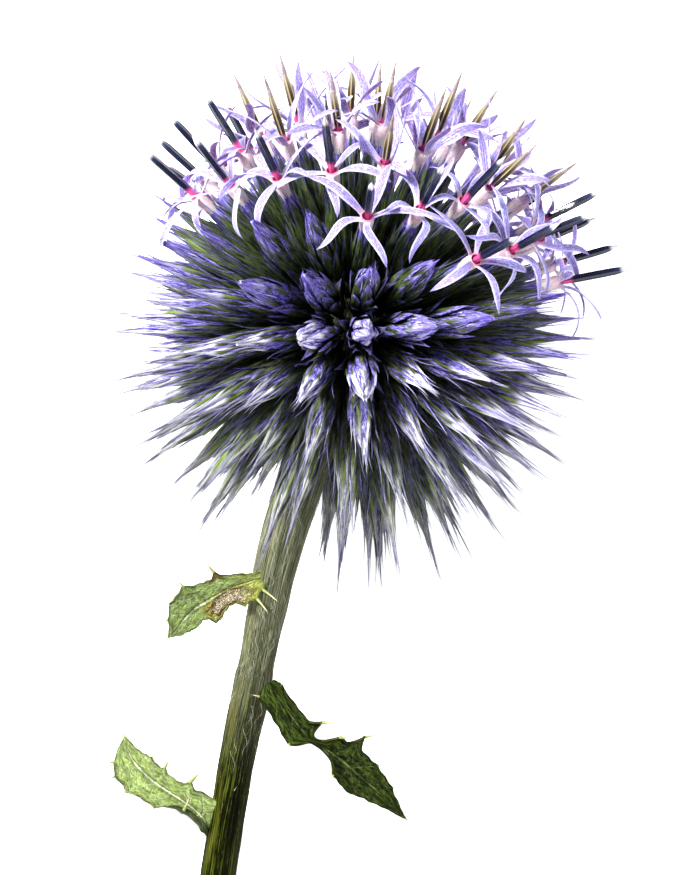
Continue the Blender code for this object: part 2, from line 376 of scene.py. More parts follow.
# painted shade: a darker band down the middle of the woolly part and darker streaks on its right
# half
coated = coated.tinted(side.rise(-0.2, 0.0) * side.rise(0.32, 0.12) * 0.6, (0.04, 0.052, 0.022))
coated = coated.tinted(
    side.rise(0.2, 0.5) * streaks.rise(0.52, 0.42) * 0.6, (0.05, 0.06, 0.03)
)
skin = green.times(0.62).tinted(
    threads.rise(0.56, 0.7) * specks.rise(0.42, 0.6) * 0.6, (0.42, 0.43, 0.14)
)
skin = skin.painted(
    (woolly, coated),
    # painted highlight along the right edge of the stem
    (side.rise(0.86, 1.02) * threads.rise(0.35, 0.6) * 0.5, (0.26, 0.26, 0.15)),
    (shade.read("pith").part(0), (0.62, 0.64, 0.42)),
)
coat(surface, skin, 0.7 + 0.2 * wool, threads + streaks + specks * 0.5, 0.00045)

deselect()
sections = smooth_line(STEM_LINE, STEM_SECTIONS)
foot_x, foot_z, foot_radius = sections[0]
bpy.ops.mesh.primitive_circle_add(
    vertices=STEM_FACETS, radius=foot_radius, fill_type="NGON", location=(foot_x, 0, foot_z)
)
stem = bpy.context.object
bpy.ops.object.transform_apply(location=True, rotation=True, scale=True)
bpy.ops.object.mode_set(mode="EDIT")
for (x, z, radius), (next_x, next_z, next_radius) in zip(sections, sections[1:]):
    bpy.ops.mesh.extrude_region_move(TRANSFORM_OT_translate={"value": (next_x - x, 0, next_z - z)})
    bpy.ops.transform.resize(value=(next_radius / radius,) * 3, center_override=(next_x, 0, next_z))
face_outwards()

# the pith: the foot's face is inset and sunk a little
foot_number = min(stem.data.polygons, key=lambda face: face.center.z).index
bpy.ops.object.mode_set(mode="EDIT")
bpy.ops.mesh.select_all(action="DESELECT")
mesh = bmesh.from_edit_mesh(stem.data)
mesh.faces.ensure_lookup_table()
mesh.faces[foot_number].select_set(True)
bmesh.update_edit_mesh(stem.data)
bpy.ops.mesh.inset(thickness=0.35)
bpy.ops.mesh.inset(thickness=0.2, depth=-0.15)
bpy.ops.mesh.inset(thickness=0.6, depth=-0.05)
bpy.ops.object.mode_set(mode="OBJECT")

bpy.ops.mesh.primitive_uv_sphere_add(segments=32, ring_count=18, radius=RECEPTACLE)
bpy.ops.object.transform_apply(location=True, rotation=True, scale=True)
stem.select_set(True)
bpy.context.view_layer.objects.active = stem
bpy.ops.object.join()

rng = np.random.default_rng(11)
corners = corners_of(stem)
axis_x = np.interp(corners[:, 2], sections[:, 1], sections[:, 0])
around = np.arctan2(corners[:, 1], corners[:, 0] - axis_x)
from_axis = np.hypot(corners[:, 1], corners[:, 0] - axis_x)
on_stalk = (corners[:, 2] < STALK_TOP) & (from_axis < 3)
whole = from_axis > 0.9 * np.interp(corners[:, 2], sections[:, 1], sections[:, 2])
twist = around + 0.006 * corners[:, 2]
ribs = 0.6 * np.cos(STEM_RIBS * twist) + 0.4 * np.cos((2 * STEM_RIBS + 3) * twist + 1.1)
ribs += 0.5 * np.sin(0.9 * corners[:, 2] + 3 * around) * np.cos(0.31 * corners[:, 2])
grown = 1 + np.where(on_stalk & whole, RIB_HEIGHT * ribs * 0.7, 0)
corners[:, 0] = axis_x + (corners[:, 0] - axis_x) * grown
corners[:, 1] *= grown
reach = np.minimum(from_axis, 2) / 2
note(stem, "grain", rows(np.cos(around) * reach, np.sin(around) * reach, corners[:, 2] / 10))
pith = (corners[:, 2] < CUT_END.z + 0.1) & (from_axis < PITH_RADIUS)
note(stem, "pith", rows(pith, pith, pith))
set_corners(stem, laid(corners))
finish_piece(stem, "stem_with_receptacle", stem_skin, 60)
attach(stem, "root")
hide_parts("stem")

# ---------------------------------------------------------------------------------------------
# The wool. Loose white hairs lie along the stem, thickest under the head, and stand off it
# here and there. Each is one thin tapered strand, set on the stem's skin.
# ---------------------------------------------------------------------------------------------

WOOL_HAIRS = 320
HAIR_RADIUS = 0.013
HAIR_SPANS = 6
ACROSS_HAIR = (0.31, 0.87, 0.38)


class Batch:
    """Copies of given shapes that grow together into one mesh."""

    def __init__(self):
        self.corners, self.loops, self.totals, self.notes, self.count = [], [], [], {}, 0

    def add(self, shape, corners, **notes):
        loops, totals = shape
        self.corners.append(corners)
        self.loops.append(loops + self.count)
        self.totals.append(totals)
        for name, values in notes.items():
            self.notes.setdefault(name, []).append(values)
        self.count += len(corners)

    def grow(self, name, material, smooth=70):
        """The mesh object, laid where the head lies."""
        mesh = bpy.data.meshes.new(name)
        corners, loops = laid(np.concatenate(self.corners)), np.concatenate(self.loops)
        corners[:, 2] = np.maximum(corners[:, 2], 0)  # what meets the floor bends flat on it
        totals = np.concatenate(self.totals)
        mesh.vertices.add(len(corners))
        mesh.vertices.foreach_set("co", corners.ravel())
        mesh.loops.add(len(loops))
        mesh.loops.foreach_set("vertex_index", loops.astype(np.int32))
        mesh.polygons.add(len(totals))
        mesh.polygons.foreach_set("loop_start", (np.cumsum(totals) - totals).astype(np.int32))
        mesh.update(calc_edges=True)
        mesh.validate()
        piece = bpy.data.objects.new(name, mesh)
        bpy.context.scene.collection.objects.link(piece)
        for note_name, values in self.notes.items():
            note(piece, note_name, np.concatenate(values))
        return finish_piece(piece, name, material, smooth)


def drawn_out(section, stations, closed_tip=True):
    """A shape drawn out from a flat section along Z, station by station: height,
    width and depth, which a round shape leaves out. Gives its corners, its faces and how far
    across each corner is."""
    stations = [(*station, station[1])[:3] for station in stations]
    deselect()
    bpy.ops.mesh.primitive_circle_add(vertices=len(section), fill_type="NGON")
    piece = bpy.context.object
    height, width, depth = stations[0]
    corners = [(x * width, y * depth, height) for x, y in section]
    set_corners(piece, corners)
    bpy.ops.object.mode_set(mode="EDIT")
    bpy.ops.mesh.select_all(action="SELECT")
    for (low, wide, deep), (high, wider, deeper) in zip(stations, stations[1:]):
        bpy.ops.mesh.extrude_region_move(TRANSFORM_OT_translate={"value": (0, 0, high - low)})
        scale = (wider / wide, deeper / deep, 1)
        bpy.ops.transform.resize(value=scale, center_override=(0, 0, high))
    if closed_tip:
        bpy.ops.mesh.merge(type="CENTER")
    face_outwards()
    corners, mesh = corners_of(piece), piece.data
    loops, totals = np.empty(len(mesh.loops), int), np.empty(len(mesh.polygons), int)
    mesh.loops.foreach_get("vertex_index", loops)
    mesh.polygons.foreach_get("loop_total", totals)
    heights, widths, _ = np.array(stations).T
    across = corners[:, 0] / np.maximum(np.interp(corners[:, 2], heights, widths), 1e-6)
    if closed_tip:
        across = np.where(corners[:, 2] > heights[-1] - 1e-6, 0, across)
    bpy.data.objects.remove(piece)
    bpy.data.meshes.remove(mesh)
    return corners, (loops, totals), across


hair_white, shade, surface = new_material("wool_white", Roughness=0.8, Sheen_Weight=0.4)
tone = shade.read("grain").part(0)
pale = shade.colour(0.46, 0.48, 0.38)
coat(surface, pale.tinted(tone, (0.2, 0.23, 0.13)))

three = ring(3, 0.5)
hair_stations = [(k, 1.0) for k in range(HAIR_SPANS)] + [(HAIR_SPANS, 0.5)]
hair_form, hair_shape, _ = drawn_out(three, hair_stations)
hair_index = np.rint(hair_form[:, 2]).astype(int)
batch = Batch()
for _ in range(WOOL_HAIRS):
    z = rng.triangular(-50, -12, -9)
    turn, length = rng.uniform(0, math.tau), rng.uniform(0.8, 3.2)
    lean, lift = rng.normal(0, 0.16), abs(rng.normal(0, 0.1)) + 0.02
    t = np.linspace(0, 1, HAIR_SPANS + 1)
    heights = z - length * t
    turns = turn + lean * t * 2 + 0.12 * np.sin(6 * t + turn)
    radius = np.interp(heights, sections[:, 1], sections[:, 2])
    radius = 1.02 * radius + lift * np.sin(math.pi * t) + rng.uniform(0, 0.35) * t**3
    axis_x = np.interp(heights, sections[:, 1], sections[:, 0])
    path = rows(axis_x + radius * np.cos(turns), radius * np.sin(turns), heights)
    steps = unit(np.gradient(path, axis=0))
    side = unit(np.cross(steps, ACROSS_HAIR))
    over = np.cross(steps, side)
    thin = (HAIR_RADIUS * (1 - 0.75 * t))[hair_index, None]
    strand = side[hair_index] * hair_form[:, :1] + over[hair_index] * hair_form[:, 1:2]
    tone = np.full(len(hair_form), rng.uniform(0, 1))
    batch.add(hair_shape, path[hair_index] + thin * strand, grain=rows(tone, tone, tone))
wool_hairs = batch.grow("stem_wool", hair_white)
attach(wool_hairs, "root")

# ---------------------------------------------------------------------------------------------
# The leaves. Three thin spiny leaves stand off the stem: green above with a pale rib and a net
# of pale veins, their margins lobed, waved and armed with stiff spines. The upper left one has a
# dead brown patch, eaten into from its lower edge.
# ---------------------------------------------------------------------------------------------

LEAF_THICKNESS = 0.2
LEAF_ROWS = 110
LEAF_COLUMNS = 25
TOOTH_WIDTH = 0.045
SPINE_GROWTH = 1.35
LEAVES = {
    "leaf_upper_left": {
        "face": (0.25, -1.0, 0.15),
        "rib": (
            (-3.7, -1.7, -27.1), (-5.4, -2.0, -28.1), (-6.9, -2.3, -29.0), (-8.3, -2.5, -30.2),
            (-9.8, -2.5, -31.6), (-10.8, -2.3, -33.1), (-11.5, -2.0, -34.4), (-12.1, -1.7, -35.4),
        ),
        # place along, width and curl on side 1, width and curl on side -1
        "blade": (
            (0.0, 0.7, 30, 0.5, 20), (0.12, 1.9, 40, 0.9, 25), (0.24, 2.2, 45, 1.3, 20),
            (0.34, 1.8, 50, 1.7, 10), (0.44, 1.9, 25, 1.9, 5), (0.52, 2.5, -20, 2.1, 15),
            (0.64, 1.6, 20, 2.5, 25), (0.78, 1.4, 25, 2.1, 10), (0.9, 0.9, 10, 1.0, 20),
            (1.0, 0.05, 0, 0.05, 0),
        ),
        # side, place along, height of the tooth, length of the spine, lean of the spine
        "teeth": (
            (1, 0.04, 0.3, 2.0, -0.6), (1, 0.12, 0.5, 1.9, -0.3), (1, 0.24, 0.4, 1.0, 0.0),
            (-1, 0.36, 0.8, 2.2, 0.15), (-1, 0.62, 0.6, 1.5, 0.0), (-1, 0.76, 0.3, 0.7, 0.1),
            (-1, 0.88, 0.2, 0.6, 0.3), (1, 0.56, 0.3, 0.4, 0.2), (1, 0.74, 0.2, 0.4, 0.2),
            (-1, 0.2, 0.1, 0.4, 0.2), (-1, 0.69, 0.2, 0.5, 0.2),
        ),
        # tone is painted light: how brightly the leaf is lit, lowest for the shaded right leaf
        "tone": 0.58,
        "dead": (0.33, 0.48),
    },
    "leaf_right": {
        "face": (0.3, -1.0, 0.1),
        "rib": (
            (-0.8, -2.4, -37.8), (0.4, -2.4, -39.0), (1.6, -2.3, -40.2), (3.0, -2.1, -41.5),
            (4.6, -1.6, -42.8), (7.0, -1.0, -43.9), (10.1, 0.3, -45.6), (13.2, 1.6, -47.5),
            (16.3, 2.7, -49.6),
        ),
        "blade": (
            (0.0, 0.6, 70, 0.9, 5), (0.05, 1.0, 80, 1.7, 0), (0.13, 1.3, 85, 1.8, -10),
            (0.22, 1.4, 85, 1.9, -20), (0.29, 1.3, 70, 1.9, 20), (0.36, 0.5, 60, 0.6, 110),
            (0.43, 1.3, 75, 0.9, 130), (0.52, 2.3, 40, 1.6, 60), (0.63, 2.2, 15, 2.2, 15),
            (0.76, 1.8, 10, 1.6, 15), (0.89, 0.9, 15, 0.8, 15), (1.0, 0.04, 0, 0.04, 0),
        ),
        "teeth": (
            (1, 0.3, 1.4, 2.2, 0.1), (1, 0.45, 1.2, 1.8, 0.4), (1, 0.54, 1.4, 2.3, 0.6),
            (-1, 0.53, 0.7, 0.7, -0.1), (-1, 0.29, 0.3, 0.3, 0.1), (1, 0.71, 0.15, 0.6, 0.2),
            (1, 0.84, 0.1, 0.5, 0.2), (-1, 0.68, 0.12, 0.4, 0.2), (1, 0.04, 0.3, 0.5, -0.3),
            (-1, 0.8, 0.1, 0.3, 0.2), (-1, 0.03, 0.4, 0.7, -1.2),
        ),
        "tone": 0.0,
        "dead": (2.0, 0.0),
    },
    "leaf_lower_left": {
        "face": (-0.25, -1.0, 0.1),
        "rib": (
            (-3.2, 0.0, -55.9), (-4.0, -0.4, -54.5), (-5.2, -0.8, -53.2), (-7.0, -1.0, -52.2),
            (-9.0, -0.9, -51.4), (-11.0, -0.4, -50.6), (-12.9, 0.3, -49.5), (-14.0, 0.8, -48.3),
            (-14.6, 1.1, -47.1),
        ),
        "blade": (
            (0.0, 0.35, 0, 0.35, 0), (0.08, 0.6, 60, 0.9, 10), (0.16, 1.7, 150, 2.2, 10),
            (0.26, 2.5, 170, 2.2, 5), (0.38, 2.8, 150, 1.7, 10), (0.5, 3.1, 100, 1.5, 5),
            (0.62, 3.2, 90, 1.6, 8), (0.74, 2.8, 60, 1.7, 0), (0.86, 1.9, 40, 1.2, 5),
            (0.95, 0.8, 20, 0.6, 5), (1.0, 0.05, 0, 0.05, 0),
        ),
        "teeth": (
            (-1, 0.2, 0.8, 2.0, 0.3), (-1, 0.4, 0.7, 2.8, -0.2), (-1, 0.6, 0.4, 1.8, 0.0),
            (1, 0.34, 0.4, 1.6, 0.2), (1, 0.5, 0.4, 1.6, 0.2), (1, 0.68, 0.4, 0.8, 0.3),
            (1, 0.8, 0.3, 1.4, 0.1), (1, 0.87, 0.2, 1.2, 0.3), (-1, 0.74, 0.1, 0.5, 0.2),
            (1, 0.25, 0.2, 0.6, 0.1),
        ),
        "tone": 0.8,
        "dead": (2.0, 0.0),
    },
}


def leaf_material(name, tone, dead):
    """Green leaf skin with its rib and veins; tone is painted light, dead gives a dead patch's
    place.
    """
    material, shade, surface = new_material(name, Specular_IOR_Level=0.05)
    grain = shade.read("grain")
    across, along, below = grain.part(0), grain.part(1), grain.part(2)
    wide = abs(across)
    mottle = grain.stretched(3.0, 9.0, 0.0).noise(2.6, 5.0, 0.6)
    net = grain.stretched(3.2, 8.0, 0.0)
    cells = net.node("TexVoronoi", {"feature": "DISTANCE_TO_EDGE"}, i0=net, Scale=2.2)
    net_lines = cells.rise(0.1, 0.0)
    wander = (grain.stretched(2.0, 5.0, 0.0).noise(2.0, 2.0) - 0.5) * 0.16
    side_veins = (along * 7.5 - wide * 0.85 + wander).maths("FRACT")
    side_lines = abs(side_veins - 0.5).rise(0.055, 0.0) * wide.rise(1.0, 0.75)
    rib = wide.rise(0.1, 0.03)
    # painted light: deep, fresh and vein are lit and shaded copies of one green, set by tone
    deep = tuple(a + (b - a) * tone for a, b in zip((0.004, 0.008, 0.001), (0.11, 0.18, 0.026)))
    fresh = tuple(a + (b - a) * tone for a, b in zip((0.06, 0.1, 0.009), (0.4, 0.52, 0.16)))
    vein = tuple(a + (b - a) * tone for a, b in zip((0.15, 0.19, 0.06), (0.72, 0.78, 0.5)))
    colour = shade.colour(*deep)
    colour = colour.painted(
        (mottle.rise(0.36 - 0.06 * tone, 0.64 - 0.06 * tone), fresh),
        (net_lines * 0.4, vein),
        (side_lines * (0.35 + 0.5 * mottle), vein),
        (wide.rise(0.97, 1.0) * mottle.rise(0.4, 0.6) * 0.6, (0.33, 0.31, 0.1)),
        (rib * 0.9, tuple(1.1 * value for value in vein)),
    )
    # painted shade: the underside is painted far darker than the top, as it is seen in shade
    painted_shade_underside = colour.times(0.22).tinted(0.25, (0.06, 0.08, 0.02))
    colour = colour.tinted(below, painted_shade_underside)
    if dead[0] < 1:
        place = (along - dead[0]) * 2.3
        side = (across - dead[1]) * 1.25
        reach = (place * place + side * side) ** 0.5 + (mottle - 0.5) * 0.6
        colour = colour.tinted(reach.rise(0.75, 0.55), (0.3, 0.27, 0.05))
        colour = colour.tinted(reach.rise(0.58, 0.5), (0.085, 0.035, 0.018))
        crumbs = grain.stretched(9.0, 26.0, 0.0).noise(3.0, 4.0, 0.7)
        colour = colour.painted(
            (reach.rise(0.5, 0.4) * crumbs.rise(0.46, 0.54), (0.56, 0.5, 0.33)),
            (reach.rise(0.54, 0.44) * crumbs.rise(0.46, 0.4), (0.022, 0.01, 0.006)),
            (along.rise(0.3, 0.1) * 0.55, (0.42, 0.46, 0.1)),
        )
        scorched = abs(along - 0.37).rise(0.07, 0.03) * (0 - across).rise(0.62, 0.86)
        colour = colour.tinted(scorched * 0.9, (0.12, 0.05, 0.026))
    grainy = grain.stretched(5.0, 16.0, 0.0).noise(2.4, 4.0, 0.7)
    # painted shade: broad dark patches where the blade folds and darker ragged margins, over grainy
    # tone
    painted_fold_shade = grain.stretched(1.6, 4.5, 0.0).noise(1.8, 3.0, 0.6)
    soft = (0.44 + 0.66 * grainy.rise(0.4, 0.58)) * (0.36 + 0.74 * painted_fold_shade.rise(0.4, 0.56))
    # painted light: the more brightly lit the leaf, the less of this darkening it keeps
    soft = soft + (1 - soft) * (0.6 * tone)
    soft = soft * (1 - 0.7 * wide.rise(0.8, 0.97) * painted_fold_shade.rise(0.42, 0.52))
    # darker along both sides of the rib
    colour = colour.times(soft * (0.35 + 0.65 * wide.rise(0.0, 0.22) + rib * 0.65))
    height = mottle * 0.8 + grainy * 0.5 - (net_lines + side_lines + rib) * 0.5
    coat(surface, colour, 0.42 + 0.3 * mottle, height, 0.00026)
    return material


def curled(curl, across):
    """How far out and how far up a blade of width 1 is, where its margin turns by curl."""
    steps = np.linspace(0, 1, 41)[None] * across[:, None]
    turned = curl[:, None] * (0.25 * (steps > 0) + 0.75 * steps**1.5)
    pace = np.diff(steps, axis=1)
    return (np.cos(turned[:, 1:]) * pace).sum(axis=1), (np.sin(turned[:, 1:]) * pace).sum(axis=1)


spine_skin, shade, surface = new_material("leaf_spines", Roughness=0.4)
grain = shade.read("grain")
straw = shade.colour(0.2, 0.24, 0.06)
straw = straw.tinted(grain.part(0).rise(0.15, 0.55), (0.52, 0.47, 0.24))
straw = straw.tinted(grain.part(0).rise(0.6, 1.0) * grain.part(1), (0.13, 0.07, 0.04))
coat(surface, straw)

spine_form, spine_shape, _ = drawn_out(
    ring(6), [(0.0, 1.0), (0.12, 0.8), (0.35, 0.45), (0.7, 0.22), (1.0, 0.06)]
)
for leaf_name, leaf in LEAVES.items():
    rib = smooth_line(leaf["rib"], LEAF_ROWS)
    onwards = unit(np.gradient(rib, axis=0))
    beside = unit(np.cross(unit(np.array(leaf["face"])), onwards))
    upwards = np.cross(onwards, beside)
    travelled = np.concatenate([[0], np.cumsum(np.linalg.norm(np.diff(rib, axis=0), axis=1))])
    v = travelled / travelled[-1]
    blade = np.array(leaf["blade"])
    smooth_blade = smooth_line(blade, 400)
    places = smooth_blade[:, 0]
    outline = np.array([np.interp(v, places, smooth_blade[:, k]) for k in range(1, 5)])
    width = {1: outline[0].copy(), -1: outline[2].copy()}
    rise = {1: np.radians(outline[1]), -1: np.radians(outline[3])}
    for side, place, tall, _, _ in leaf["teeth"]:
        width[side] += tall * np.maximum(0, 1 - np.abs(v - place) / TOOTH_WIDTH) ** 1.4
    for side in (1, -1):
        ripple = 0.05 * np.sin(90 * v + side) * np.minimum(1, 6 * (1 - v)) * np.minimum(1, 6 * v)
        width[side] = np.maximum(width[side] + ripple, 0.03)

    deselect()
    bpy.ops.mesh.primitive_grid_add(
        x_subdivisions=LEAF_COLUMNS - 1, y_subdivisions=LEAF_ROWS - 1, size=2
    )
    piece = bpy.context.object
    flat = corners_of(piece)
    column = flat[:, 0]
    row = np.rint((flat[:, 1] + 1) / 2 * (LEAF_ROWS - 1)).astype(int)
    side = np.where(column >= 0, 1, -1)
    half = np.where(side > 0, width[1][row], width[-1][row])
    curl = np.where(side > 0, rise[1][row], rise[-1][row])
    out, over = curled(curl, np.abs(column))
    wave = 0.14 * np.sin(23 * v[row] + 1.7 * side) * np.abs(column) ** 2 * np.minimum(1, half)
    wave += 0.07 * np.sin(47 * v[row] - 5 * column) * np.abs(column)
    corners = (
        rib[row]
        + beside[row] * (side * half * out)[:, None]
        + upwards[row] * (half * over + wave - 0.1 * np.exp(-((column / 0.1) ** 2)))[:, None]
    )
    set_corners(piece, corners)
    note(piece, "grain", rows(column, v[row], 0.0))
    thick = piece.modifiers.new("thickness", "SOLIDIFY")
    thick.thickness, thick.offset = LEAF_THICKNESS, 0
    bpy.ops.object.modifier_apply(modifier=thick.name)
    bpy.ops.object.mode_set(mode="EDIT")
    face_outwards()
    normals = np.empty(len(piece.data.vertices) * 3)
    piece.data.vertices.foreach_get("normal", normals)
    grain = np.empty(len(piece.data.vertices) * 3)
    piece.data.attributes["grain"].data.foreach_get("vector", grain)
    grain = grain.reshape(-1, 3)
    sheet = np.arange(len(grain)) >= len(column)
    near_rib = ~sheet & (np.abs(grain[:, 0]) < 0.3)
    rows_there = np.rint(np.interp(grain[near_rib, 1], v, np.arange(LEAF_ROWS))).astype(int)
    facing = (normals.reshape(-1, 3)[near_rib] * upwards[rows_there]).sum()
    grain[:, 2] = sheet if facing > 0 else ~sheet
    piece.data.attributes["grain"].data.foreach_set("vector", grain.ravel())
    set_corners(piece, laid(corners_of(piece)))
    skin = leaf_material(leaf_name + "_skin", leaf["tone"], leaf["dead"])
    finish_piece(piece, leaf_name + "_blade", skin, 50)
    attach(piece, "root")
    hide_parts(leaf_name)

    batch = Batch()
    for side, place, tall, length, lean in leaf["teeth"] + ((0, 1.0, 0, 0.7, 0.0),):
        row = int(np.argmin(np.abs(v - place)))
        if side:
            angle = rise[side][row]
            out, over = curled(np.array([angle]), np.array([0.93]))
            outwards = side * beside[row] * math.cos(angle) + upwards[row] * math.sin(angle)
            margin = side * beside[row] * out[0] + upwards[row] * over[0]
            root = rib[row] + width[side][row] * margin
            points_to = unit(outwards + onwards[row] * lean)
        else:
            root, points_to = rib[-1], unit(onwards[-1])
        one = unit(np.cross(points_to, (0.2, 0.9, 0.4)))
        two = np.cross(points_to, one)
        bent = 0.12 * length * spine_form[:, 2:] ** 2 * onwards[row]
        length *= SPINE_GROWTH
        thin = 0.12 + 0.035 * length
        corners = root + spine_form[:, 2:] * length * points_to + bent
        corners = corners + thin * (spine_form[:, :1] * one + spine_form[:, 1:2] * two)
        dark = float(length > 1.5)
        batch.add(spine_shape, corners, grain=rows(spine_form[:, 2], dark, 0.0))
    spines = batch.grow(leaf_name + "_spines", spine_skin)
    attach(spines, "root")

# ---------------------------------------------------------------------------------------------
# The bracts. Each floret stands in its own spindle of keeled, finely pointed bracts that
# overlap in tiers, over a tuft of white bristles at its foot. They are grey-green below, with
# violet margins and points, a painted pale highlight where the light catches them, and painted
# shade between them and deep in the ball, where their own colour is darker too.
# ---------------------------------------------------------------------------------------------

BRACT_SECTION = ((-1.0, 0.0), (-0.52, 0.62), (0.0, 1.0), (0.52, 0.62), (1.0, 0.0), (0.0, 0.42))
BLUNT_STATIONS = (
    (0.0, 0.42, 0.45), (0.16, 0.6, 0.6), (0.34, 0.88, 0.85), (0.5, 1.0, 1.0), (0.64, 0.88, 0.95),
    (0.77, 0.58, 0.75), (0.89, 0.22, 0.42), (1.0, 0.03, 0.08),
)
AWNED_STATIONS = (
    (0.0, 0.4, 0.45), (0.15, 0.64, 0.65), (0.29, 0.96, 0.9), (0.41, 1.0, 1.0), (0.52, 0.8, 0.9),
    (0.62, 0.42, 0.58), (0.73, 0.17, 0.3), (0.87, 0.07, 0.15), (1.0, 0.015, 0.04),
)
KEEL = 0.34
# where the tier starts and ends on the floret's line, bracts in it, half width, lift, flare
BLUNT_TIERS = (
    (8.2, 14.8, 5, 0.48, 1.22, 0.9),
    (9.6, 17.6, 5, 0.6, 1.24, 1.6),
    (11.2, 20.4, 5, 0.66, 1.16, 1.1),
    (12.8, 22.7, 5, 0.66, 1.04, 0.4),
    (15.0, 24.0, 5, 0.52, 0.92, 0.1),
)
AWNED_TIERS = (
    (7.8, 14.8, 6, 0.46, 1.16, 0.45),
    (9.2, 17.8, 6, 0.54, 1.18, 0.95),
    (10.8, 20.9, 6, 0.62, 1.12, 0.9),
    (12.4, 23.5, 5, 0.66, 1.02, 0.5),
    (13.8, 25.3, 4, 0.6, 0.9, 0.16),
)
OPEN_TIERS = (
    (7.8, 14.0, 6, 0.42, 1.18, 0.4),
    (8.8, 17.0, 5, 0.52, 1.18, 0.7),
    (10.2, 19.6, 6, 0.55, 1.12, 0.65),
    (11.8, 21.4, 6, 0.52, 1.04, 0.4),
    (13.4, 22.1, 5, 0.44, 0.96, 0.18),
)
# the body inside the bracts: reach along the floret's line, radius
BLUNT_BODY = (
    (5.7, 0.35), (9.0, 0.74), (12.0, 1.06), (14.5, 1.22), (17.5, 1.18), (20.0, 0.98),
    (22.0, 0.68), (23.6, 0.34), (24.4, 0.1),
)
AWNED_BODY = (
    (5.7, 0.35), (9.0, 0.7), (12.0, 0.98), (14.5, 1.1), (17.0, 1.02), (19.0, 0.8), (21.0, 0.5),
    (23.0, 0.22), (24.8, 0.06),
)
OPEN_BODY = (
    (5.7, 0.35), (9.0, 0.7), (12.0, 0.98), (14.5, 1.08), (17.0, 1.0), (19.0, 0.84), (20.9, 0.66),
    (22.0, 0.6),
)
TIER_TURN = 2.4
BRACT_LENGTHS = 0.75
BRACT_WIDTHS = (0.88, 1.12)
BRACT_PARTING = 2.4
# a closed floret is blunt where it faces forwards by more than this, high on the ball and low
BLUNT_HIGH, BLUNT_LOW = -0.7, -0.94
BRISTLES = 12
BRISTLE_RADIUS = 0.035
HANG = 2.7
SHADE_REACH = (7.5, 19.0)

bract_skin, shade, surface = new_material("bract_skin", Specular_IOR_Level=0.25)
grain = shade.read("grain")
growth = shade.read("growth")
across, along, inside = grain.part(0), grain.part(1), grain.part(2)
chance, height, reach = growth.part(0), growth.part(1), growth.part(2)
wide = abs(across)
own = growth.stretched(37.0, 5.0, 0.0)
streaks = grain.stretched(1.3, 1.6, 0.0).moved(own).noise(2.6, 5.0, 0.7)
specks = grain.stretched(3.2, 4.0, 0.0).moved(own).noise(2.4, 4.0, 0.75)
low_down = height.rise(0.6, 0.43)
grey_down = height.rise(0.4, 0.14)
high_up = height.rise(0.52, 0.68)
inner = reach.rise(0.9, 1.12)
own_mark = chance.rise(0.15, 0.5)
body = shade.colour(0.01, 0.017, 0.004)
body = body.painted(
    (streaks.rise(0.44, 0.58), (0.078, 0.098, 0.04)),
    (high_up * streaks.rise(0.44, 0.56) * 0.75, (0.058, 0.092, 0.018)),
    (grey_down * specks.rise(0.46, 0.58) * 0.35, (0.15, 0.17, 0.095)),
    (wide.rise(0.35, 0.05) * along.rise(0.1, 0.3) * own_mark * 0.4, (0.1, 0.135, 0.04)),
)
lime = along.rise(0.26, 0.4) * along.rise(0.58, 0.46) * wide.rise(0.6, 0.25)
lime = lime * chance.rise(0.55, 0.85)
body = body.tinted(lime * reach.rise(0.75, 1.0) * (0.8 - 0.5 * high_up), (0.2, 0.3, 0.035))
violet = shade.colour(0.085, 0.055, 0.36)
violet = violet.tinted(specks.rise(0.48, 0.58) * 0.8, (0.4, 0.36, 0.84))
# pale is a painted highlight on the bracts where the light catches them: white low on the ball,
# greyer at the very bottom
pale = violet.tinted(low_down * 0.9 + 0.1, (1.0, 0.98, 0.99))
pale = pale.tinted(specks.rise(0.45, 0.36) * 0.5, (0.24, 0.215, 0.43))
pale = pale.tinted(grey_down * 0.75, (0.26, 0.285, 0.2))
# where the painted highlight lies: the tipward middle of the outer bracts, less of it high up
pale_highlight = (along - 0.18 * high_up).rise(0.47, 0.57) * wide.rise(0.8, 0.5)
pale_highlight = pale_highlight * inner * (1 - 0.7 * high_up)
colour = body.tinted(pale_highlight * (0.35 + 0.65 * own_mark) * (1 - 0.45 * grey_down), pale)
edges = (wide - 0.24 * high_up).rise(0.46, 0.6) * (along - 0.26 * high_up).rise(0.2, 0.4)
edges = edges * reach.rise(0.5, 0.85) * (0.95 - 0.7 * grey_down)
colour = colour.tinted(edges * (1 - 0.3 * high_up * reach.rise(1.2, 0.95)), violet)
glint = wide.rise(0.74, 0.84) * wide.rise(0.98, 0.9) * inner * specks.rise(0.46, 0.56)
glint = glint * (along - 0.15 * high_up).rise(0.35, 0.6)
colour = colour.tinted(glint * 0.8, (0.8, 0.77, 0.98))
crown = 1 - 0.65 * high_up * (1 - reach.rise(0.85, 1.15))
tip_violet = violet.tinted(high_up * specks.rise(0.58, 0.44) * 0.8, (0.12, 0.05, 0.52))
pointed = (along - 0.04 * high_up).rise(0.66, 0.82) * (1 - 0.75 * low_down * inner)
colour = colour.tinted(pointed * crown * 0.9, tip_violet)
colour = colour.tinted(inside * 0.5, (0.08, 0.085, 0.07))
# painted shade: each bract's margins darken below its point, for the shadows in the gaps between
# bracts
rim = 1 - 0.8 * wide.rise(0.88, 1.0) * along.rise(0.92, 0.75)
# partly streaky tone, partly painted shade for the dark gaps between bracts; the painted highlight
# is spared
streak_and_gap_shade = 0.24 + 0.92 * (0.5 * streaks + 0.5 * specks).rise(0.42, 0.52)
streak_and_gap_shade = streak_and_gap_shade + (1 - streak_and_gap_shade) * pale_highlight * (0.75 - 0.45 * grey_down)
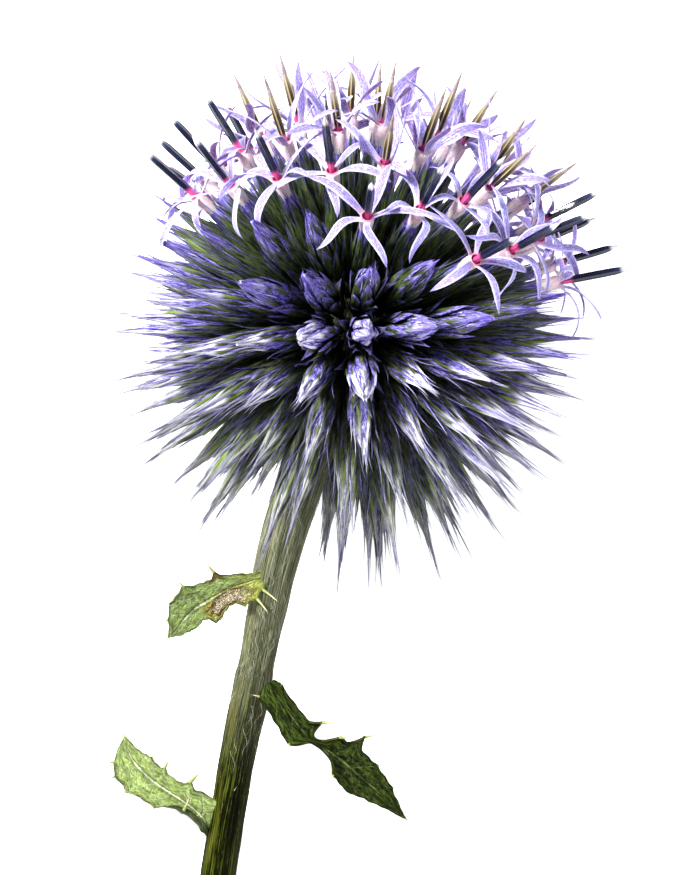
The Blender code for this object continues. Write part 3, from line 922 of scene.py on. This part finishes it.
# painted shade: the bracts darken towards the middle of the ball, where their own colour is also
# darker
colour = colour.times((0.07 + 0.93 * reach.rise(0.05, 0.8)) * rim * streak_and_gap_shade)
coat(surface, colour, 0.62 - 0.14 * streaks, streaks + specks, 0.00006)


def bract_form_of(stations):
    """A bract drawn out station by station, with its inner side marked."""
    form, shape, across = drawn_out(BRACT_SECTION, stations)
    depth = np.interp(form[:, 2], *np.array(stations).T[[0, 2]])
    return form, shape, across, (np.abs(across) < 0.2) & (form[:, 1] < 0.6 * depth)


blunt_form, awned_form = bract_form_of(BLUNT_STATIONS), bract_form_of(AWNED_STATIONS)
core_form, core_shape, core_across = drawn_out(
    ring(8), [(z, 1.0) for z in (0.0, 0.2, 0.4, 0.55, 0.7, 0.85, 1.0)], False
)
bristle_form, bristle_shape, _ = drawn_out(three, [(0.0, 1.0), (0.4, 0.7), (1.0, 0.1)])


def floret_axes(direction):
    """A floret's foot, its line for each millimetre of reach and two directions across it."""
    foot, tip = foot_direction(direction) * FOOT, direction * BUD_TIP
    line = (tip - foot) / (BUD_TIP - FOOT)
    one = line.orthogonal().normalized()
    two = line.normalized().cross(one)
    return np.array(foot), np.array(line), np.array(one), np.array(two)


def stood(axes, reaches, section, size=1.0):
    """Corners of a shape stood on a floret's line, each at its reach and its place across."""
    foot, line, one, two = axes
    across = one * section[:, :1] + two * section[:, 1:2]
    return foot + line * (reaches - FOOT)[:, None] + size * across


def grow_bracts(batch, direction, form, tiers, body, splay, rng):
    """One floret's bracts, tier on tier, with the body inside them and its bristles."""
    bract_form, bract_shape, bract_across, under = form
    axes = foot, line, one, two = floret_axes(direction)
    reaches, radii = np.array(body).T
    height = direction.z * 0.5 + 0.5
    hang = HANG * max(0.0, 0.15 - direction.z)

    def growth_rows(chance, corners):
        low, high = SHADE_REACH
        out = (np.linalg.norm(corners, axis=1) - low) / (high - low)
        return rows(chance, height, out.clip(0, 1.5))

    start_turn = rng.uniform(0, math.tau)
    for tier, (start, end, count, half, lift, flare) in enumerate(tiers):
        for k in range(count):
            turn = start_turn + tier * TIER_TURN + math.tau * k / count + rng.normal(0, 0.1)
            reach_end = end + rng.normal(0, BRACT_LENGTHS) + hang * tier / 4
            radial = one * math.cos(turn) + two * math.sin(turn)
            beside = two * math.cos(turn) - one * math.sin(turn)
            z = bract_form[:, 2]
            s = start + (reach_end - start) * z
            opened = flare * splay * rng.uniform(0.3, 1.7)
            parted = opened * np.maximum(0, z - 0.35) ** 2 * BRACT_PARTING
            radius = lift * np.interp(s, reaches, radii) + parted
            x = bract_form[:, 0] * half * rng.uniform(*BRACT_WIDTHS)
            sway = rng.normal(0, 0.25) * z**3
            y = bract_form[:, 1] * KEEL - x**2 / (2 * np.maximum(radius, 0.75))
            corners = (
                foot
                + line * (s - FOOT)[:, None]
                + radial * (radius + y - 0.12)[:, None]
                + beside * (x + sway)[:, None]
            )
            chance = rng.uniform(0, 1)
            grain = rows(bract_across, z, under)
            batch.add(bract_shape, corners, grain=grain, growth=growth_rows(chance, corners))

    z = core_form[:, 2]
    top = min(reaches[-1], BUD_TIP) - 0.4
    s = FOOT - 0.9 + (top - FOOT + 0.9) * z
    radius = 0.8 * np.interp(s, reaches, radii)
    corners = stood(axes, s, core_form, radius[:, None])
    grain = rows(0.3 * core_across, 0.3 + 0.6 * z, 0.0)
    batch.add(core_shape, corners, grain=grain, growth=growth_rows(0.4, corners))

    for _ in range(BRISTLES):
        turn = rng.uniform(0, math.tau)
        radial = one * math.cos(turn) + two * math.sin(turn)
        z = bristle_form[:, 2]
        s = FOOT + 0.2 + rng.uniform(3.5, 7.5) * z
        spread = 0.4 + rng.uniform(0.8, 1.3) * z
        corners = stood(axes, s, bristle_form, BRISTLE_RADIUS) + radial * spread[:, None]
        grain = rows(0.0 * z, 0.62, 1.0)
        batch.add(bristle_shape, corners, grain=grain, growth=growth_rows(1.0, corners))


rng = np.random.default_rng(23)
for tuft in TUFTS:
    batch = Batch()
    for n in closed_florets:
        if tuft_of(tips[n]) == tuft:
            if tips[n].y < (BLUNT_HIGH if tips[n].z > 0.1 else BLUNT_LOW):
                grow_bracts(batch, tips[n], blunt_form, BLUNT_TIERS, BLUNT_BODY, 0.7, rng)
            else:
                splay = float(np.interp(tips[n].z, [-0.5, 0.2], [1.4, 0.9]))
                grow_bracts(batch, tips[n], awned_form, AWNED_TIERS, AWNED_BODY, splay, rng)
    piece = batch.grow("closed_florets_" + tuft, bract_skin, 42)
    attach(piece, "root")
    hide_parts("buds_" + tuft)

for tuft in TUFTS:
    batch = Batch()
    members = [n for n in open_florets if tuft_of(tips[n]) == tuft]
    for n in members:
        grow_bracts(batch, tips[n], awned_form, OPEN_TIERS, OPEN_BODY, 0.8, rng)
    piece = batch.grow("open_floret_bracts_" + tuft, bract_skin, 42)
    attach(piece, "root")
    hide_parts(*(open_nodes[n] for n in members))

# ---------------------------------------------------------------------------------------------
# The corollas. An open floret has a pale pink tube that splits into five narrow lobes, lavender
# with white margins and darker lines, which fall back and curl like a star round a magenta
# throat. Each lobe is drawn out from one grooved section and bent by its own amount.
# ---------------------------------------------------------------------------------------------

LOBE_SECTION = (
    (-1.0, 0.0), (-0.55, 0.55), (-0.12, 0.25), (0.12, 0.25), (0.55, 0.55), (1.0, 0.0), (0.0, -0.55),
)
LOBE_STATIONS = (
    (0.0, 0.66, 1.0), (0.08, 0.62, 1.0), (0.18, 0.74, 1.0), (0.29, 0.9, 1.0), (0.4, 0.99, 1.0),
    (0.51, 1.0, 1.0), (0.61, 0.95, 1.0), (0.71, 0.84, 0.95), (0.81, 0.66, 0.9), (0.91, 0.4, 0.8),
    (1.0, 0.06, 0.4),
)
LOBES = 5
LOBE_LENGTH = 6.7
LOBE_HALF = 0.45
LOBE_DEPTH = 0.16
LOBE_FOOT = 22.35
THROAT_RADIUS = 0.62
YOUNG_BEYOND = 44
TUBE_STATIONS = (
    (18.6, 0.4), (19.6, 0.52), (20.6, 0.64), (21.4, 0.74), (22.0, 0.76), (22.5, 0.7),
    (22.6, 0.56), (22.0, 0.46),
)

corolla_skin, shade, surface = new_material(
    "corolla_skin", Subsurface_Weight=0.15, Subsurface_Scale=0.0006, Specular_IOR_Level=0.3
)
grain = shade.read("grain")
growth = shade.read("growth")
across, along, lobe = grain.part(0), grain.part(1), grain.part(2)
chance = growth.part(0)
wide = abs(across)
own = growth.stretched(31.0, 0.0, 0.0)
lines = grain.stretched(4.0, 1.1, 0.0).moved(own).noise(1.5, 4.0, 0.65)
fleck = grain.stretched(2.4, 9.0, 0.0).moved(own).noise(2.0, 4.0, 0.7)
petal = shade.colour(0.42, 0.355, 0.86)
petal = petal.tinted(chance.rise(0.2, 1.0) * 0.5, (0.33, 0.3, 0.72))
petal = petal.tinted(lines.rise(0.46, 0.6) * wide.rise(0.8, 0.4) * 0.7, (0.19, 0.16, 0.54))
veins = (abs(wide - 0.4).rise(0.13, 0.03) + wide.rise(0.16, 0.04)) * lines.rise(0.3, 0.5)
petal = petal.painted(
    (veins * along.rise(0.06, 0.22) * 0.8, (0.11, 0.085, 0.42)),
    (fleck.rise(0.5, 0.64) * 0.45, (0.8, 0.77, 0.96)),
    (wide.rise(0.62, 0.84) * 0.72, (0.78, 0.75, 0.95)),
    (wide.rise(0.88, 1.0) * fleck.rise(0.6, 0.44) * 0.75, (0.17, 0.12, 0.56)),
    (along.rise(0.2, 0.02) * 0.7, (0.76, 0.6, 0.74)),
    (along.rise(0.75, 1.0) * 0.45, (0.25, 0.2, 0.62)),
)
petal = petal.times(0.7 + 0.34 * fleck.rise(0.38, 0.56))
tube = shade.colour(0.8, 0.67, 0.7)
tube = tube.painted(
    (lines.rise(0.44, 0.58) * along.rise(0.35, 0.8) * 0.75, (0.6, 0.27, 0.36)),
    (fleck.rise(0.56, 0.42) * 0.45, (0.42, 0.34, 0.38)),
    (along.rise(0.6, 0.3) * 0.7, (0.42, 0.44, 0.24)),
    (along.rise(0.86, 0.97), (0.48, 0.035, 0.15)),
)
coat(surface, tube.tinted(lobe, petal), 0.5 + 0.1 * lines, lines + fleck, 0.00008)

lobe_form, lobe_shape, lobe_across = drawn_out(LOBE_SECTION, LOBE_STATIONS)
tube_form, tube_shape, tube_across = drawn_out(ring(10), TUBE_STATIONS, False)


def is_young(n):
    """The florets on the rim of the open cap are the last to open."""
    return math.degrees(tips[n].angle(OPEN_AXIS)) > YOUNG_BEYOND


def bent_lobe(spread, curl, twist, length):
    """A lobe's middle line seen from the side, out and up, and its turning direction."""
    t = np.linspace(0, 1, 40)
    angle = spread + curl * (t**1.25)
    out = np.concatenate([[0], np.cumsum(np.sin(angle[:-1]))]) * length / 39
    up = np.concatenate([[0], np.cumsum(np.cos(angle[:-1]))]) * length / 39
    return t, out, up, angle, twist * t**1.3


rng = np.random.default_rng(31)
for n in open_florets:
    axes = foot, line, one, two = floret_axes(tips[n])
    outward = unit(line)
    young = is_young(n)
    batch = Batch()
    start_turn = rng.uniform(0, math.tau)
    for k in range(LOBES):
        turn = start_turn + math.tau * k / LOBES + rng.normal(0, 0.12)
        radial = one * math.cos(turn) + two * math.sin(turn)
        beside = two * math.cos(turn) - one * math.sin(turn)
        if young:
            spread, curl = math.radians(rng.uniform(34, 72)), math.radians(rng.uniform(40, 125))
        else:
            spread, curl = math.radians(rng.uniform(6, 58)), math.radians(rng.uniform(-25, 90))
        length = LOBE_LENGTH * rng.uniform(0.85, 1.15) * (1.0 if young else 1.02)
        t, out, up, angle, twists = bent_lobe(spread, curl, rng.normal(0, 0.9), length)
        z = lobe_form[:, 2]
        o, u = np.interp(z, t, out), np.interp(z, t, up)
        a, w = np.interp(z, t, angle), np.interp(z, t, twists)
        over = -radial * np.cos(a)[:, None] + outward * np.sin(a)[:, None]
        sideways = beside * np.cos(w)[:, None] + over * np.sin(w)[:, None]
        over = over * np.cos(w)[:, None] - beside * np.sin(w)[:, None]
        lobe_line = foot + line * (LOBE_FOOT - FOOT)
        lobe_line = lobe_line + radial * (THROAT_RADIUS + o)[:, None] + outward * u[:, None]
        bend, sway = rng.normal(0, 0.9), rng.normal(0, 0.3)
        lobe_line = lobe_line + beside * (bend * z**2 + sway * np.sin(5.5 * z))[:, None]
        half = LOBE_HALF * rng.uniform(0.85, 1.1) * (1.08 if young else 1.48)
        corners = lobe_line + sideways * (lobe_form[:, 0] * half)[:, None]
        corners = corners + over * (lobe_form[:, 1] * LOBE_DEPTH)[:, None]
        chance = np.full(len(z), rng.uniform(0, 1))
        grain, growth = rows(lobe_across, z, 1.0), rows(chance, chance, chance)
        batch.add(lobe_shape, corners, grain=grain, growth=growth)
    s = tube_form[:, 2]
    throat = np.hypot(tube_form[:, 0], tube_form[:, 1]) < 0.55 * (s > 21.5)
    place = np.where(throat, 1.0, (s - TUBE_STATIONS[0][0]) / 4.3)
    chance = np.full(len(s), rng.uniform(0, 1))
    grain, growth = rows(tube_across, place, 0.0), rows(chance, chance, chance)
    batch.add(tube_shape, stood(axes, s, tube_form), grain=grain, growth=growth)
    piece = batch.grow(open_nodes[n].replace("open_floret", "corolla"), corolla_skin, 60)
    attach(piece, "root")
    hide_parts(open_nodes[n])

# ---------------------------------------------------------------------------------------------
# The anthers. Five are joined in a stiff, shining, five-ribbed tube on a magenta neck. It is
# navy blue when it is fresh and turns brown and gold with age, as the pale style grows out.
# ---------------------------------------------------------------------------------------------

YOUNG_STATIONS = (
    (21.4, 0.26), (22.4, 0.3), (23.0, 0.33), (23.4, 0.4), (24.2, 0.43), (26.2, 0.44),
    (27.8, 0.42), (28.4, 0.35), (28.8, 0.23), (29.3, 0.09), (29.6, 0.02),
)
OLD_STATIONS = (
    (21.4, 0.26), (22.4, 0.31), (23.0, 0.34), (23.6, 0.43), (24.6, 0.46), (25.8, 0.44),
    (26.8, 0.38), (27.4, 0.28), (27.9, 0.1), (28.1, 0.03),
)
STYLE_STATIONS = (
    (25.8, 0.2), (26.6, 0.36), (27.3, 0.4), (28.2, 0.36), (29.2, 0.27), (30.1, 0.16),
    (30.8, 0.07), (31.2, 0.02),
)
LEAN_FROM = 23.0


def anther_material(name, old):
    """Ribbed glossy tube; old ones are brown and gold instead of navy."""
    material, shade, surface = new_material(
        name, Coat_Weight=0.3, Coat_Roughness=0.04, Specular_IOR_Level=0.1
    )
    grain = shade.read("grain")
    along, rib = grain.part(1), grain.part(0)
    fine = grain.stretched(5.0, 1.2, 1.0).noise(2.2, 4.0, 0.6)
    if old:
        colour = shade.colour(0.02, 0.014, 0.006)
        colour = colour.painted(
            (along.rise(0.45, 0.9) * 0.7, (0.14, 0.115, 0.06)),
            (rib.rise(0.5, 0.95) * fine.rise(0.3, 0.5) * 0.85, (0.56, 0.43, 0.19)),
            (along.rise(0.6, 0.95) * fine.rise(0.35, 0.55) * 0.8, (0.34, 0.29, 0.21)),
        )
    else:
        colour = shade.colour(0.003, 0.004, 0.018)
        colour = colour.painted(
            # painted highlight: lighter blue lines on the ribs, for the light caught along the
            # anthers' joins
            (rib.rise(0.7, 1.0) * fine.rise(0.35, 0.55) * 0.18, (0.12, 0.17, 0.33)),
            (along.rise(0.7, 0.86) * fine.rise(0.44, 0.58) * 0.3, (0.09, 0.11, 0.3)),
            (along.rise(0.83, 0.9) * fine.rise(0.36, 0.48), (0.76, 0.73, 0.7)),
        )
    colour = colour.tinted(along.rise(0.31, 0.23), (0.56, 0.06, 0.21))
    coat(surface, colour, 0.16 + 0.2 * fine, rib + fine * 0.3, 0.00006)
    return material


style_skin, shade, surface = new_material(
    "style_skin", Roughness=0.5, Subsurface_Weight=0.2, Subsurface_Scale=0.0006
)
grain = shade.read("grain")
tip_colour = shade.colour(0.2, 0.16, 0.09)
tip_colour = tip_colour.tinted(grain.part(1).rise(0.1, 0.45), (0.2, 0.15, 0.15))
tip_colour = tip_colour.tinted(grain.part(1).rise(0.6, 1.0), (0.23, 0.17, 0.14))
down = grain.stretched(4.0, 2.0, 1.0).noise(3.0, 4.0, 0.7)
tip_colour = tip_colour.tinted(down.rise(0.52, 0.64) * 0.5, (0.46, 0.4, 0.38))
tip_colour = tip_colour.tinted(down.rise(0.48, 0.38) * 0.6, (0.09, 0.06, 0.05))
coat(surface, tip_colour, 0.5 + 0.2 * down, down, 0.00006)

ribbed = []
for k, (x, y) in enumerate(ring(10)):
    out = 1.0 if k % 2 == 0 else 0.84
    ribbed.append((out * x, out * y))
anther_forms = {}
for age, stations in (("anthers_young", YOUNG_STATIONS), ("anthers_old", OLD_STATIONS)):
    form, shape, _ = drawn_out(ribbed, stations)
    heights, radii = np.array(stations).T
    ridge = np.hypot(form[:, 0], form[:, 1]) / np.interp(form[:, 2], heights, radii) > 0.92
    anther_forms[age] = form, shape, ridge.astype(float)
style_form, style_shape, _ = drawn_out(ring(8), STYLE_STATIONS)
batches = {"anthers_young": Batch(), "anthers_old": Batch(), "styles": Batch()}
nodes_of = {"anthers_young": [], "anthers_old": [], "styles": []}
rng = np.random.default_rng(41)
for n in open_florets:
    axes = floret_axes(tips[n])
    _, _, one, two = axes
    young = is_young(n)
    group = "anthers_young" if young else "anthers_old"
    anther_form, anther_shape, ridge = anther_forms[group]
    lean = one * rng.normal(0, 0.05) + two * rng.normal(0, 0.05)
    long = rng.uniform(-0.2, 0.6) if young else rng.uniform(-1.2, 0.5)
    height = anther_form[:, 2]
    s = height + long * (height - 22) / 6
    corners = stood(axes, s, anther_form) + lean * np.maximum(0, s - LEAN_FROM)[:, None]
    place = (height - height.min()) / (height.max() - height.min())
    batches[group].add(anther_shape, corners, grain=rows(ridge, place, float(n)))
    nodes_of[group].append(open_nodes[n])

    thin, sunk = (0.45, 1.3) if young else (0.78, 1.1)
    height = style_form[:, 2]
    s = height + long - sunk
    corners = stood(axes, s, style_form, thin) + lean * np.maximum(0, s - LEAN_FROM)[:, None]
    place = (height - height.min()) / (height.max() - height.min())
    batches["styles"].add(style_shape, corners, grain=rows(0.0, place, float(n)))
    nodes_of["styles"].append(open_nodes[n])
skins = {
    "anthers_young": anther_material("anther_navy", False),
    "anthers_old": anther_material("anther_brown", True),
    "styles": style_skin,
}
for group, batch in batches.items():
    piece = batch.grow(group, skins[group], 50)
    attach(piece, "root")
    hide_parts(*nodes_of[group])

# ---------------------------------------------------------------------------------------------
# The stage: a plain white floor, a white sky and two soft lamps, a strong one up on the left
# and a weak one low on the right, seen from above by a camera at the front of the ball.
# ---------------------------------------------------------------------------------------------

ROLL = math.radians(12.0)
TILT = math.radians(-1.0)
DISTANCE = 350.0
VIEW_WIDTH = 73.5
BALL_ABOVE_AIM = 11.2
BALL_RIGHT_OF_AIM = 0.2
SENSOR = 36.0

deselect()
bpy.ops.mesh.primitive_plane_add(size=6.0, location=(0, 0, -0.0002))
floor = bpy.context.object
floor.name = "floor"
floor_white, shade, surface = new_material("floor_white", Roughness=0.9)
surface.inputs["Base Color"].default_value = (0.95, 0.95, 0.95, 1)
surface.inputs["Emission Color"].default_value = (1, 1, 1, 1)
surface.inputs["Emission Strength"].default_value = 0.65
floor.data.materials.append(floor_white)

world = bpy.context.scene.world or bpy.data.worlds.new("sky")
bpy.context.scene.world = world
world.use_nodes = True
sky = Shade(world.node_tree)
overhead = sky.node("TexCoord", output=0).part(2).rise(0.1, 0.55)
white = sky.colour(1, 1, 1)
dimmed = white.tinted(overhead, (0.42, 0.43, 0.45))
world.node_tree.links.new(dimmed.socket, world.node_tree.nodes["Background"].inputs["Color"])

towards = lying @ Vector((0, -math.cos(TILT), -math.sin(TILT)))
over_sight = Vector((0, -math.sin(TILT), math.cos(TILT)))
right = lying @ (math.cos(ROLL) * Vector((1, 0, 0)) + math.sin(ROLL) * over_sight)
up = lying @ (math.cos(ROLL) * over_sight - math.sin(ROLL) * Vector((1, 0, 0)))
aim = middle - up * BALL_ABOVE_AIM * MM - right * BALL_RIGHT_OF_AIM * MM
camera_data = bpy.data.cameras.new("camera")
camera_data.sensor_fit = "HORIZONTAL"
camera_data.sensor_width = SENSOR
camera_data.lens = SENSOR * DISTANCE / VIEW_WIDTH
camera_data.clip_start, camera_data.clip_end = 0.01, 10
camera = bpy.data.objects.new("camera", camera_data)
bpy.context.scene.collection.objects.link(camera)
camera.location = middle + towards * DISTANCE * MM
sight = (camera.location - aim).normalized()
level = up.cross(sight).normalized()
camera.rotation_euler = Matrix((level, sight.cross(level), sight)).transposed().to_euler()
bpy.context.scene.camera = camera

for name, place, size, power in (
    ("key_lamp", right * -0.35 + up * 0.3 + towards * 0.5, 0.16, 14.4),
    ("low_lamp", right * 0.45 + up * -0.1 + towards * 0.4, 0.3, 0.9),
):
    lamp_data = bpy.data.lights.new(name, "AREA")
    lamp_data.shape, lamp_data.size, lamp_data.energy = "DISK", size, power
    lamp = bpy.data.objects.new(name, lamp_data)
    bpy.context.scene.collection.objects.link(lamp)
    lamp.location = middle + place
    lamp.rotation_euler = (lamp.location - middle).to_track_quat("Z", "Y").to_euler()

bpy.context.scene.view_settings.view_transform = "Standard"
